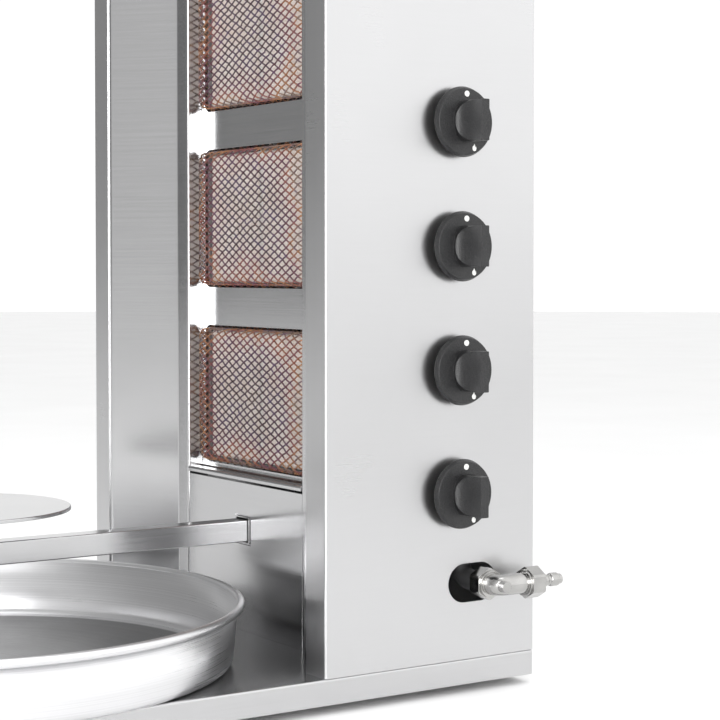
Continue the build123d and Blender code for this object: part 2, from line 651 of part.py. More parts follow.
def cable_gland():
    """The cord grip in the hood's rear wall, bored for a mains cord."""
    plane = Plane(origin=(GLAND_X, HOOD_REAR, GLAND_Z), x_dir=(-1, 0, 0), z_dir=(0, 1, 0))
    gland = extrude(plane * hexagon(19), amount=5)
    dome = rod_y(8.6, HOOD_REAR + 5, HOOD_REAR + 19, GLAND_X, GLAND_Z)
    gland += fillet(dome.edges().group_by(Axis.Y)[-1], 3.5)
    gland += rod_y(6.0, HOOD_REAR - 9, HOOD_REAR, GLAND_X, GLAND_Z)
    gland += rod_y(9.5, HOOD_REAR - SHEET - 4, HOOD_REAR - SHEET, GLAND_X, GLAND_Z)
    return gland - rod_y(GLAND_BORE, HOOD_REAR - 10, HOOD_REAR + 20, GLAND_X, GLAND_Z)


def switch_bezel():
    """The rocker switch's frame and body in the hood's right wall."""
    half = HOOD_WIDTH / 2
    frame = block(half, half + 2, SPIT_Y - 10.5, SPIT_Y + 10.5, SWITCH_Z - 15.5, SWITCH_Z + 15.5)
    frame = fillet(frame.edges().group_by(Axis.X)[-1], 0.8)
    frame += block(half - 17, half, SPIT_Y - 7.7, SPIT_Y + 7.7, SWITCH_Z - 12.7, SWITCH_Z + 12.7)
    return frame - block(half - 8, half + 3, SPIT_Y - 6, SPIT_Y + 6, SWITCH_Z - 11.2, SWITCH_Z + 11.2)


def switch_rocker():
    """The rocker paddle, resting tilted in its off position."""
    x_pivot = HOOD_WIDTH / 2 - 1.5
    plane = Plane(origin=(x_pivot, SPIT_Y + 5.5, SWITCH_Z), x_dir=(1, 0, 0), z_dir=(0, -1, 0))
    corners = [(-3, 9.5), (4.6, 10.2), (3.2, 0), (4.6, -10.2), (-3, -9.5)]
    paddle = extrude(plane * make_face(Polyline(*corners, close=True)), amount=11)
    paddle += rod_y(1.5, SPIT_Y - 5.9, SPIT_Y + 5.9, x_pivot, SWITCH_Z)
    pivot = Axis((x_pivot, SPIT_Y, SWITCH_Z), (0, 1, 0))
    return paddle.rotate(pivot, SWITCH_TILT)


# ---- drip pan ------------------------------------------------------------------------
def drip_pan():
    """A spun pan: flat floor, rounded corner, sloping side and rolled rim."""
    z0 = BASE_TOP + PAN_LIFT
    points = [
        (0, z0),
        (PAN_FLOOR_RADIUS, z0),
        (PAN_RIM_RADIUS - PAN_BEAD - 1.2, z0 + PAN_HEIGHT),
    ]
    path = FilletPolyline(*points, radius=9.0)
    profile = Plane.XZ * make_face(offset(path, amount=PAN_SHEET, side=Side.LEFT).edges())
    shell = revolve(profile, axis=Axis.Z)
    bead = Pos(0, 0, z0 + PAN_HEIGHT) * Torus(PAN_RIM_RADIUS - PAN_BEAD, PAN_BEAD)
    return Pos(0, SPIT_Y, 0) * (shell + bead)


# ---- write every node --------------------------------------------------------------
save("base_tray", base_tray())
save("base_feet", *base_feet())
save("right_side_panel", right_side_panel())
save("left_side_panel", mirrored(side_shell()))
save("right_reflector", reflector())
save("left_reflector", mirrored(reflector()))
save("rear_cover", rear_cover())
save("cover_screws", *cover_screws())
save("top_cover", top_cover())
save("burner_wall", burner_wall())
save("lower_front_panel", front_panel(BASE_TOP, BASE_TOP + WALL_BOTTOM - PANEL_GAP, LOW_Z))
save("upper_front_panel", front_panel(BASE_TOP + WALL_TOP + PANEL_GAP, COLUMN_TOP - 2, HIGH_Z))

for number, (tap_z, burner_z) in enumerate(zip(KNOB_Z, BURNER_Z), start=1):
    save(f"burner_{number}_mesh", burner_mesh(burner_z))
    save(f"burner_{number}_plaque", burner_plaque(burner_z))
    save(f"burner_{number}_plenum", burner_plenum(burner_z))
    save(f"burner_{number}_mixer_tube", mixer_tube(burner_z))
    save(f"tap_{number}_body", tap_body(tap_z))
    save(f"tap_{number}_spindle", tap_spindle(tap_z))
    save(f"knob_{number}", knob(tap_z))

save("gas_feed_lines", *[gas_feed(*run) for run in zip(KNOB_Z, BURNER_Z, RISER_X)])
save("gas_manifold", gas_manifold())
save("union_nuts", hex_nut_x(*INLET_NUT, MANIFOLD_RADIUS), hex_nut_y(*OUTLET_NUT, ELBOW_RADIUS))
save("gas_elbow", gas_elbow())
save("hose_tail", hose_tail())

save("lower_arm", lower_arm())
save("upper_arm", upper_arm())
save("arm_post", arm_post())
save("arm_guides", *arm_guides())
save("clamp_screw", clamp_screw())
save("lower_bearing", lower_bearing())
save("skewer_rod", skewer_rod())
save("meat_plate", meat_plate())
save("drive_socket", drive_socket())
save("gearmotor", gearmotor())
save("motor_hood", motor_hood())
save("cable_gland", cable_gland())
save("switch_bezel", switch_bezel())
save("switch_rocker", switch_rocker())
save("drip_pan", drip_pan())
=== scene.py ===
import math
import bpy
import numpy as np
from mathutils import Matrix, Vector


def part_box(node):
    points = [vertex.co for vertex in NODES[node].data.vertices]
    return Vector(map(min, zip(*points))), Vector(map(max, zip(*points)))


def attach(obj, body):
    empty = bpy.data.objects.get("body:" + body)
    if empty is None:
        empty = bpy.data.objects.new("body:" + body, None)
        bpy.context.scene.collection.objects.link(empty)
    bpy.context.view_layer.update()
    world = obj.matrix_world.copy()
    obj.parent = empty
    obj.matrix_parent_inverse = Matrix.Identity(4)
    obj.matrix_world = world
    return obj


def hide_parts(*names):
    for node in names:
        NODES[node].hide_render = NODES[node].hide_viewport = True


# Vertical rotisserie broiler in metres, in the CAD frame: +Z up, front towards -Y,
# controls towards +X. The CAD nodes carry the folded metal; the wire screens, ceramic
# plaques, drip pan, cover screws and knob marks are built here.

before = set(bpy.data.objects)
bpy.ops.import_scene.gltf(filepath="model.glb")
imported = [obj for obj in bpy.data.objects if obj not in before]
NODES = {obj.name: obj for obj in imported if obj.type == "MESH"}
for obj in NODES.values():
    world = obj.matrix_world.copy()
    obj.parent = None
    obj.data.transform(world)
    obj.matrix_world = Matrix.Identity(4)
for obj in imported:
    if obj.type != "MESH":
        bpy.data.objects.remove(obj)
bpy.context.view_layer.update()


# ---- materials -------------------------------------------------------------------
class Shade:
    """A material being built: its node tree and its Principled shader."""

    def __init__(self, name, metallic, roughness, color=(0.5, 0.5, 0.5)):
        self.material = bpy.data.materials.new(name)
        self.material.use_nodes = True
        self.tree = self.material.node_tree
        self.shader = self.tree.nodes["Principled BSDF"]
        self.shader.inputs["Metallic"].default_value = metallic
        self.shader.inputs["Roughness"].default_value = roughness
        self.shader.inputs["Base Color"].default_value = (*color, 1)

    def node(self, kind, inputs=None, **settings):
        made = self.tree.nodes.new(kind)
        for key, value in settings.items():
            setattr(made, key, value)
        for key, value in (inputs or {}).items():
            self.feed(made.inputs[key], value)
        return made

    def feed(self, socket, value):
        if isinstance(value, bpy.types.NodeSocket):
            self.tree.links.new(value, socket)
        else:
            socket.default_value = value

    def set(self, name, value):
        self.feed(self.shader.inputs[name], value)

    def place(self, scale=(1, 1, 1)):
        """Object coordinates, stretched."""
        coords = self.node("ShaderNodeTexCoord").outputs["Object"]
        return self.node("ShaderNodeMapping", {"Vector": coords, "Scale": scale}).outputs["Vector"]

    def noise(self, vector, scale, detail=2.0, rough=0.5):
        return self.node(
            "ShaderNodeTexNoise",
            {"Vector": vector, "Scale": scale, "Detail": detail, "Roughness": rough},
        ).outputs["Fac"]

    def ramp(self, fac, *stops):
        """A colour ramp from (position, (r, g, b)) stops."""
        made = self.node("ShaderNodeValToRGB", {"Fac": fac})
        elements = made.color_ramp.elements
        while len(elements) < len(stops):
            elements.new(0.5)
        for element, (position, color) in zip(elements, stops):
            element.position = position
            element.color = (*color, 1)
        return made.outputs["Color"]

    def span(self, value, low, high, to_low, to_high):
        """A value mapped from one range to another."""
        limits = {"From Min": low, "From Max": high, "To Min": to_low, "To Max": to_high}
        return self.node("ShaderNodeMapRange", {"Value": value, **limits}).outputs["Result"]

    def math(self, operation, a, b=0.0):
        made = self.node("ShaderNodeMath", operation=operation)
        self.feed(made.inputs[0], a)
        self.feed(made.inputs[1], b)
        return made.outputs["Value"]

    def mix(self, fac, a, b):
        made = self.node("ShaderNodeMix", data_type="RGBA")
        self.feed(made.inputs["Factor"], fac)
        self.feed(made.inputs["A"], a if isinstance(a, bpy.types.NodeSocket) else (*a, 1))
        self.feed(made.inputs["B"], b if isinstance(b, bpy.types.NodeSocket) else (*b, 1))
        return made.outputs["Result"]

    def bump(self, height, distance, strength=1.0, normal=None):
        inputs = {"Height": height, "Distance": distance, "Strength": strength}
        if normal is not None:
            inputs["Normal"] = normal
        return self.node("ShaderNodeBump", inputs).outputs["Normal"]

    def soft_edges(self, radius):
        return self.node("ShaderNodeBevel", {"Radius": radius}, samples=4).outputs["Normal"]


def brushed(name, tone, roughness, grain, edge=0.0004, wave=0.0, streaks=0.03):
    """Brushed sheet: fine streaks along the grain's long axis, faint smudges and soft edges.

    grain is the texture scale along each axis: small along the brushing direction."""
    s = Shade(name, 1.0, roughness)
    streak = s.noise(s.place(grain), 1.0, 4.0, 0.65)
    smudge = s.noise(s.place(), 9.0, 2.0)
    dark = tuple(c * (1 - streaks) for c in tone)
    light = tuple(min(c * (1 + streaks), 1) for c in tone)
    s.set("Base Color", s.ramp(streak, (0.3, dark), (0.7, light)))
    base = s.span(streak, 0.3, 0.7, roughness - streaks * 0.4, roughness + streaks * 0.4)
    s.set("Roughness", s.math("ADD", base, s.span(smudge, 0.3, 0.7, -0.015, 0.03)))
    normal = s.soft_edges(edge)
    if wave:
        normal = s.bump(s.noise(s.place(), 3.2, 1.0), wave, 1.0, normal)
    s.set("Normal", s.bump(streak, 0.00002, 0.5, normal))
    return s.material


def spun(name, tone, roughness, floor_radius=0.226, floor_tone=0.30):
    """Metal turned on a lathe: rings round the piece's own Z axis, and a floor dulled by use."""
    s = Shade(name, 1.0, roughness)
    parts = s.node("ShaderNodeSeparateXYZ", {"Vector": s.place()})
    x, y, z = (parts.outputs[axis] for axis in "XYZ")
    radius = s.math("SQRT", s.math("ADD", s.math("MULTIPLY", x, x), s.math("MULTIPLY", y, y)))
    along = s.math("ADD", radius, z)
    line = s.node("ShaderNodeCombineXYZ", {"X": along, "Y": s.math("MULTIPLY", z, 0.3)})
    rings = s.noise(line.outputs["Vector"], 900.0, 3.0, 0.7)
    broad = s.noise(line.outputs["Vector"], 90.0, 2.0)
    smudge = s.noise(s.place(), 14.0, 3.0)
    dark = tuple(c * 0.82 for c in tone)
    bare = s.ramp(rings, (0.25, dark), (0.75, tone))
    dull = tuple(c * floor_tone for c in tone)
    within = s.span(radius, floor_radius, floor_radius + 0.004, 1.0, 0.0)
    upper_face = s.span(z, 0.0005, 0.0010, 0.0, 1.0)
    on_floor = s.math("MULTIPLY", within, upper_face)
    s.set("Base Color", s.mix(on_floor, bare, dull))
    base = s.span(rings, 0.3, 0.7, roughness - 0.05, roughness + 0.06)
    s.set("Roughness", s.math("ADD", base, s.span(smudge, 0.35, 0.7, -0.03, 0.05)))
    coarse = s.bump(broad, 0.0002, 0.5)
    s.set("Normal", s.bump(rings, 0.00006, 0.7, coarse))
    return s.material


def plated(name, tone, roughness, edge, grit=140.0):
    """Cast or turned metal under bright plating, with faint pits and soft edges."""
    s = Shade(name, 1.0, roughness)
    grain = s.noise(s.place(), grit, 3.0)
    patch = s.noise(s.place(), 45.0, 2.0)
    dark = tuple(c * 0.78 for c in tone)
    s.set("Base Color", s.ramp(patch, (0.3, dark), (0.7, tone)))
    s.set("Roughness", s.span(grain, 0.3, 0.7, roughness - 0.04, roughness + 0.07))
    s.set("Normal", s.bump(grain, 0.00008, 0.5, s.soft_edges(edge)))
    return s.material


def moulded(name, dark, light, roughness, speckle=650.0, relief=0.00012):
    """Lightly textured plastic or rubber with a fine speckle."""
    s = Shade(name, 0.0, roughness)
    grain = s.noise(s.place(), speckle, 2.0, 0.6)
    patch = s.noise(s.place(), 60.0, 2.0)
    speckled = s.ramp(grain, (0.35, dark), (0.75, light))
    s.set("Base Color", s.mix(s.span(patch, 0.3, 0.7, 0.0, 0.25), speckled, light))
    s.set("Roughness", s.span(grain, 0.3, 0.7, roughness - 0.08, roughness + 0.1))
    s.set("Normal", s.bump(grain, relief, 0.8, s.soft_edges(0.0005)))
    return s.material


def tinted_wire(name):
    """Heat-coloured wire: brown and violet in the middle, rust and gold near the edges."""
    s = Shade(name, 0.75, 0.42)
    coords = s.node("ShaderNodeTexCoord").outputs["Object"]
    parts = s.node("ShaderNodeSeparateXYZ", {"Vector": coords})
    half_width, half_height = 0.095, 0.066
    across = s.math("DIVIDE", s.math("ABSOLUTE", parts.outputs["X"]), half_width)
    upward = s.math("DIVIDE", s.math("ABSOLUTE", parts.outputs["Z"]), half_height)
    edge = s.math("MAXIMUM", across, upward)
    home = s.node("ShaderNodeObjectInfo").outputs["Location"]
    moved = s.node("ShaderNodeVectorMath", {0: coords, 1: home}, operation="ADD").outputs["Vector"]
    patch = s.noise(moved, 22.0, 3.0, 0.6)
    fleck = s.noise(moved, 120.0, 2.0)
    heat = s.math("ADD", edge, s.span(patch, 0.3, 0.7, -0.22, 0.22))
    body = s.ramp(
        heat,
        (0.0, (0.16, 0.11, 0.105)),
        (0.45, (0.13, 0.085, 0.10)),
        (0.68, (0.20, 0.09, 0.11)),
        (0.84, (0.38, 0.15, 0.12)),
        (0.96, (0.52, 0.27, 0.13)),
        (1.1, (0.34, 0.24, 0.19)),
    )
    violet = s.mix(s.span(fleck, 0.45, 0.75, 0.0, 0.7), body, (0.16, 0.11, 0.22))
    s.set("Base Color", violet)
    s.set("Roughness", s.span(fleck, 0.3, 0.7, 0.24, 0.4))
    return s.material


def ceramic(name):
    """Matte fibre ceramic, pale and slightly scorched in patches."""
    s = Shade(name, 0.0, 0.9)
    patch = s.noise(s.place(), 30.0, 3.0)
    grain = s.noise(s.place(), 900.0, 2.0)
    tone = s.ramp(patch, (0.3, (0.88, 0.78, 0.72)), (0.7, (0.97, 0.92, 0.88)))
    s.set("Base Color", s.mix(s.span(grain, 0.4, 0.7, 0.0, 0.3), tone, (0.62, 0.50, 0.44)))
    s.set("Normal", s.bump(grain, 0.0002, 0.6))
    return s.material


STEEL = (0.54, 0.54, 0.545)
SATIN = brushed("satin_sheet", STEEL, 0.28, (14, 14, 700), wave=0.0008)
SHELL = brushed("shell_sheet", (0.56, 0.56, 0.565), 0.29, (14, 14, 700), wave=0.0004, streaks=0.008)
BRIGHT = brushed("bright_sheet", STEEL, 0.17, (8, 8, 700), wave=0.0005, streaks=0.035)
BASE = brushed("base_sheet", STEEL, 0.22, (900, 8, 900), wave=0.0008)
TUBE = brushed("tube_steel", STEEL, 0.20, (900, 6, 900), edge=0.0006, streaks=0.05)
BAR = brushed("bar_steel", STEEL, 0.20, (900, 900, 6), edge=0.0006, streaks=0.05)
SCREW = plated("screw_steel", (0.62, 0.62, 0.63), 0.28, 0.0002, 400.0)
PIPE = plated("pipe_steel", (0.40, 0.40, 0.41), 0.48, 0.0004)
NICKEL = plated("nickel_plate", (0.47, 0.465, 0.455), 0.17, 0.0006)
BRASS = plated("turned_brass", (0.62, 0.44, 0.20), 0.32, 0.0004)
ALUMINIUM = spun("spun_aluminium", (0.80, 0.80, 0.81), 0.32)
KNOB = moulded("knob_plastic", (0.003, 0.003, 0.0035), (0.024, 0.024, 0.025), 0.36, 900.0, 0.00035)
BLACK = moulded("black_plastic", (0.010, 0.010, 0.011), (0.032, 0.032, 0.034), 0.40)
RUBBER = moulded("foot_rubber", (0.014, 0.014, 0.014), (0.040, 0.040, 0.040), 0.70, 300.0)
RED = moulded("rocker_plastic", (0.26, 0.008, 0.008), (0.40, 0.020, 0.016), 0.22, 500.0, 0.00003)
WHITE = moulded("mark_paint", (0.62, 0.62, 0.60), (0.80, 0.80, 0.78), 0.50, 500.0, 0.00003)
MOTOR = moulded("motor_enamel", (0.035, 0.038, 0.044), (0.060, 0.064, 0.072), 0.35, 260.0)
WIRE = tinted_wire("heat_tinted_wire")
CERAMIC = ceramic("fibre_ceramic")

FINISH = {
    "base_tray": BASE,
    "base_feet": RUBBER,
    "right_side_panel": SHELL,
    "left_side_panel": SHELL,
    "rear_cover": SATIN,
    "top_cover": SATIN,
    "cover_screws": SCREW,
    "right_reflector": BRIGHT,
    "left_reflector": BRIGHT,
    "burner_wall": BRIGHT,
    "lower_front_panel": BRIGHT,
    "upper_front_panel": BRIGHT,
    "gas_manifold": PIPE,
    "gas_feed_lines": BRASS,
    "union_nuts": NICKEL,
    "gas_elbow": NICKEL,
    "hose_tail": NICKEL,
    "lower_arm": TUBE,
    "upper_arm": TUBE,
    "arm_post": BAR,
    "arm_guides": TUBE,
    "lower_bearing": BAR,
    "skewer_rod": BAR,
    "meat_plate": BAR,
    "drive_socket": BAR,
    "gearmotor": MOTOR,
    "motor_hood": SATIN,
    "cable_gland": BLACK,
    "switch_bezel": BLACK,
    "switch_rocker": RED,
    "clamp_screw": BLACK,
    "drip_pan": ALUMINIUM,
}
for number in range(1, 5):
    FINISH[f"burner_{number}_mesh"] = WIRE
    FINISH[f"burner_{number}_plaque"] = CERAMIC
    FINISH[f"burner_{number}_plenum"] = PIPE
    FINISH[f"burner_{number}_mixer_tube"] = PIPE
    FINISH[f"tap_{number}_body"] = BRASS
    FINISH[f"tap_{number}_spindle"] = BRASS
    FINISH[f"knob_{number}"] = KNOB
for name, item in NODES.items():
    item.data.materials.clear()
    item.data.materials.append(FINISH[name])


# ---- mesh helpers ------------------------------------------------------------------
def mesh_of(name, points, faces, material, smooth=True):
    mesh = bpy.data.meshes.new(name)
    mesh.from_pydata([tuple(p) for p in points], [], [tuple(f) for f in faces])
    mesh.validate()
    mesh.update()
    mesh.polygons.foreach_set("use_smooth", [smooth] * len(mesh.polygons))
    mesh.materials.append(material)
    return mesh


def piece(name, mesh, place, body, replaced=()):
    """A new object at its place, riding on a CAD body."""
    item = bpy.data.objects.new(name, mesh)
    item.location = place
    bpy.context.scene.collection.objects.link(item)
    bpy.context.view_layer.update()
    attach(item, body)
    if replaced:
        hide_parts(*replaced)
    return item


def middle(node):
    low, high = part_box(node)
    return (Vector(low) + Vector(high)) / 2


def lathe(profile, segments):
    """Points and faces of a closed profile of (radius, height) turned about Z."""
    count = len(profile)
    points, faces = [], []
    for i in range(segments):
        angle = 2 * math.pi * i / segments
        for radius, height in profile:
            points.append((radius * math.cos(angle), radius * math.sin(angle), height))
    for i in range(segments):
        j = (i + 1) % segments
        for k in range(count):
            m = (k + 1) % count
            faces.append((i * count + k, j * count + k, j * count + m, i * count + m))
    return points, faces


# ---- burner screens ------------------------------------------------------------------
PITCH_X = 0.0138
PITCH_Z = 0.00745
BORDER = 0.005
STEEP = 0.0071
ROUND = 0.007
RISE = STEEP + ROUND
DRAWN = STEEP + ROUND * math.pi / 2 - ROUND
HALF_X = 0.097 + BORDER
HALF_Z = 0.064 + BORDER
WIRE_RADIUS = 0.00074


def press(u, v):
    """Where flat screen points land once the screen is pressed: positions and normals."""
    corner = 0.025
    qx = np.abs(u) - (HALF_X + DRAWN - corner)
    qz = np.abs(v) - (HALF_Z + DRAWN - corner)
    outside = np.hypot(np.maximum(qx, 0), np.maximum(qz, 0))
    inward = corner - outside - np.minimum(np.maximum(qx, qz), 0)
    both = (qx > 0) & (qz > 0)
    nx = np.where(both, qx / np.maximum(outside, 1e-9), (qx > qz) * 1.0) * np.sign(u)
    nz = np.where(both, qz / np.maximum(outside, 1e-9), (qx <= qz) * 1.0) * np.sign(v)
    turn = np.clip((inward - BORDER - STEEP) / ROUND, 0, math.pi / 2)
    flat = np.maximum(inward - BORDER - STEEP - ROUND * math.pi / 2, 0)
    steep = np.clip(inward - BORDER, 0, STEEP)
    plan = np.minimum(inward, BORDER) + ROUND * (1 - np.cos(turn)) + flat
    height = steep + ROUND * np.sin(turn)
    shift = plan + DRAWN - inward
    x = u - nx * shift
    z = v - nz * shift
    crown = np.clip(flat / 0.03, 0, 1)
    height -= 0.0012 * crown * np.exp(-(np.abs(np.abs(x) / 0.097 - np.abs(z) / 0.064) / 0.035) ** 2)
    height -= 0.0005 * crown * (np.sin(x * 55 + 1.0) * np.sin(z * 70 + 0.4))
    lean = np.where(inward > BORDER, math.pi / 2 - turn, 0.0)
    normal = np.stack([nx * np.sin(lean), -np.cos(lean), nz * np.sin(lean)], axis=-1)
    return np.stack([x, -height, z], axis=-1), normal, inward


def screen_mesh():
    """The woven screen: two families of diagonal wires, over and under at each crossing."""
    sides = 6
    ring = np.arange(sides) * 2 * math.pi / sides
    points, faces = [], []
    total = 0
    reach = np.arange(-20, 20.01, 0.25)
    for family in (1, -1):
        for k in range(-20, 21):
            u = PITCH_X / 2 * (k + reach)
            v = PITCH_Z / 2 * (k - reach) * family
            place, normal, inward = press(u, v)
            inside = inward > 0.0002
            if inside.sum() < 4:
                continue
            weave = 0.4 * WIRE_RADIUS * np.cos(math.pi * (reach + k)) * family
            place = (place + normal * weave[:, None])[inside]
            normal = normal[inside]
            tangent = np.gradient(place, axis=0)
            tangent /= np.linalg.norm(tangent, axis=1)[:, None]
            across = np.cross(tangent, normal)
            across /= np.linalg.norm(across, axis=1)[:, None]
            up = np.cross(across, tangent)
            lifted = np.cos(ring)[None, :, None] * up[:, None, :]
            sideways = np.sin(ring)[None, :, None] * across[:, None, :]
            rim = place[:, None, :] + WIRE_RADIUS * (lifted + sideways)
            rows = len(place)
            points.append(rim.reshape(-1, 3))
            i, j = np.meshgrid(np.arange(rows - 1), np.arange(sides), indexing="ij")
            a = total + i * sides + j
            b = total + i * sides + (j + 1) % sides
            faces.append(np.stack([a, b, b + sides, a + sides], axis=-1).reshape(-1, 4))
            total += rows * sides
    return mesh_of("screen_wires", np.concatenate(points), np.concatenate(faces), WIRE)


def plaque_mesh(width, height):
    """A plaque: a six-sided grid of burner holes in its face, and a plain body behind."""
    pitch = 0.0030
    hole = 0.00085
    deep = 0.0025
    points, faces = [], []
    rows = int(height / (pitch * 0.866)) - 1
    columns = int(width / pitch) - 1
    hexagon = [math.radians(60 * i + 30) for i in range(6)]
    outer = pitch / math.sqrt(3)
    for r in range(rows):
        for c in range(columns - r % 2):
            x = (c - (columns - 1) / 2 + 0.5 * (r % 2)) * pitch
            z = (r - (rows - 1) / 2) * pitch * 0.866
            base = len(points)
            for radius, y in ((outer, 0.0), (hole, 0.0), (hole * 0.9, deep)):
                for angle in hexagon:
                    points.append((x + radius * math.cos(angle), y, z + radius * math.sin(angle)))
            for i in range(6):
                j = (i + 1) % 6
                faces.append((base + i, base + j, base + 6 + j, base + 6 + i))
                faces.append((base + 6 + i, base + 6 + j, base + 12 + j, base + 12 + i))
            faces.append(tuple(base + 12 + i for i in range(6)))
    w, h, edge = width / 2, height / 2, 0.0012
    loops = [(w - edge, h - edge, 0.0006), (w, h, 0.0006 + edge), (w, h, 0.013)]
    base = len(points)
    for a, b, y in loops:
        points += [(-a, y, -b), (a, y, -b), (a, y, b), (-a, y, b)]
    for loop in range(2):
        for i in range(4):
            j = (i + 1) % 4
            low = base + loop * 4
            faces.append((low + i, low + j, low + 4 + j, low + 4 + i))
    faces.append((base, base + 3, base + 2, base + 1))
    faces.append((base + 8, base + 9, base + 10, base + 11))
    return mesh_of("plaque_body", points, faces, CERAMIC, smooth=False)


def cement_mesh(height):
    """The crowned cement joint between two plaques."""
    points, faces = [], []
    steps, across = 40, 6
    for i in range(steps + 1):
        z = (i / steps - 0.5) * height
        swell = 1 + 0.12 * math.sin(i * 1.7) + 0.08 * math.sin(i * 3.1 + 1)
        for k in range(across + 1):
            t = k / across * 2 - 1
            points.append((0.0034 * swell * t, 0.0008 - 0.0016 * (1 - t * t), z))
    for i in range(steps):
        for k in range(across):
            a = i * (across + 1) + k
            faces.append((a, a + 1, a + across + 2, a + across + 1))
    return mesh_of("cement_joint", points, faces, CEMENT)


CEMENT = moulded("white_cement", (0.66, 0.62, 0.58), (0.86, 0.83, 0.80), 0.9, 400.0, 0.0003)
SCREEN = screen_mesh()
plaque_low, plaque_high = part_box("burner_1_plaque")
PLAQUE_WIDTH = (plaque_high[0] - plaque_low[0]) / 2 - 0.002
PLAQUE_HEIGHT = plaque_high[2] - plaque_low[2]
PLAQUE = plaque_mesh(PLAQUE_WIDTH, PLAQUE_HEIGHT)
JOINT = cement_mesh(PLAQUE_HEIGHT)
for number in range(1, 5):
    low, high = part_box(f"burner_{number}_mesh")
    centre = middle(f"burner_{number}_mesh")
    back = low[1] + RISE + WIRE_RADIUS * 1.8
    piece(
        f"burner_{number}_screen", SCREEN, (centre.x, back, centre.z), "column",
        [f"burner_{number}_mesh"],
    )
    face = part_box(f"burner_{number}_plaque")[0][1]
    for side, label in ((-1, "left"), (1, "right")):
        x = centre.x + side * (PLAQUE_WIDTH / 2 + 0.002)
        stands_for = [f"burner_{number}_plaque"] if side < 0 else []
        name = f"burner_{number}_plaque_{label}"
        piece(name, PLAQUE, (x, face, centre.z), "column", stands_for)
    piece(f"burner_{number}_cement", JOINT, (centre.x, face, centre.z), "column")


# ---- drip pan ------------------------------------------------------------------------
PAN_FLOOR_RADIUS = 0.237
PAN_CORNER = 0.009
PAN_BEAD = 0.0036
PAN_SHEET = 0.0015


def arc(cx, cy, radius, start, end, steps):
    """Points on an arc, angles in degrees."""
    made = []
    for i in range(steps + 1):
        angle = math.radians(start + (end - start) * i / steps)
        made.append((cx + radius * math.cos(angle), cy + radius * math.sin(angle)))
    return made


def pan_mesh():
    """The spun pan: flat floor, rounded corner, sloping side and rolled rim."""
    low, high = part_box("drip_pan")
    radius = (high[0] - low[0]) / 2
    height = high[2] - low[2]
    side_top = radius - 2 * PAN_BEAD + 0.0014
    lean = math.degrees(math.atan2(side_top - PAN_FLOOR_RADIUS, height - PAN_BEAD))
    under = [(0.0004, 0.0), (0.0016, 0.0), (0.006, 0.0), (0.08, 0.0), (0.16, 0.0)]
    under += arc(PAN_FLOOR_RADIUS - PAN_CORNER * 0.78, PAN_CORNER, PAN_CORNER, -90, -lean, 10)
    under += [(side_top, height - PAN_BEAD)]
    normals = []
    for i in range(len(under)):
        a = under[max(i - 1, 0)]
        b = under[min(i + 1, len(under) - 1)]
        dx, dz = b[0] - a[0], b[1] - a[1]
        size = math.hypot(dx, dz) or 1.0
        normals.append((-dz / size, dx / size))
    inside = [(r + PAN_SHEET * n[0], z + PAN_SHEET * n[1]) for (r, z), n in zip(under, normals)]
    shell = under + inside[::-1]
    points, faces = lathe(shell, 180)
    roll = arc(radius - PAN_BEAD, height - PAN_BEAD, PAN_BEAD, 0, 360 - 360 / 16, 15)
    more_points, more_faces = lathe(roll, 180)
    shifted = [tuple(i + len(points) for i in f) for f in more_faces]
    return mesh_of("pan_shell", points + more_points, faces + shifted, ALUMINIUM)


pan_low, pan_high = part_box("drip_pan")
pan_place = ((pan_low[0] + pan_high[0]) / 2, (pan_low[1] + pan_high[1]) / 2, pan_low[2])
piece("drip_pan_spun", pan_mesh(), pan_place, "pan", ["drip_pan"])


# ---- knob marks ----------------------------------------------------------------------
def plate_mesh(name, outline, thick, material):
    """A thin raised mark facing +X, from an outline in (y, z)."""
    count = len(outline)
    points = [(0.0, y, z) for y, z in outline] + [(thick, y, z) for y, z in outline]
    faces = [tuple(range(count, 2 * count))]
    for i in range(count):
        j = (i + 1) % count
        faces.append((i, j, count + j, count + i))
    return mesh_of(name, points, faces, material, smooth=False)


DOT = plate_mesh("dot_outline", arc(0, 0, 0.0026, 0, 345, 23), 0.00025, WHITE)
FLAME = plate_mesh(
    "flame_outline",
    [
        (0.0000, 0.0034), (-0.0008, 0.0020), (-0.0019, 0.0008), (-0.0022, -0.0008),
        (-0.0015, -0.0024), (0.0000, -0.0030), (0.0015, -0.0024), (0.0022, -0.0008),
        (0.0017, 0.0010), (0.0011, 0.0002), (0.0008, 0.0016),
    ],
    0.00025,
    WHITE,
)
DISC_OUT = 0.0045        # the flange's face, out from the knob's inner side
MARK_SINK = 0.00003      # the marks start just under that face
DOT_PLACE = (0.001, 0.0238)
FLAME_PLACE = (0.009, -0.0222)
for number in range(1, 5):
    low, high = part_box(f"knob_{number}")
    centre = middle(f"knob_{number}")
    face = low[0] + DISC_OUT - MARK_SINK
    for label, mesh, (y, z) in (("dot", DOT, DOT_PLACE), ("flame", FLAME, FLAME_PLACE)):
        place = (face, centre.y + y, centre.z + z)
        piece(f"knob_{number}_{label}", mesh, place, f"knob_{number}")


# ---- cover screws ----------------------------------------------------------------------
HEAD_RADIUS = 0.004


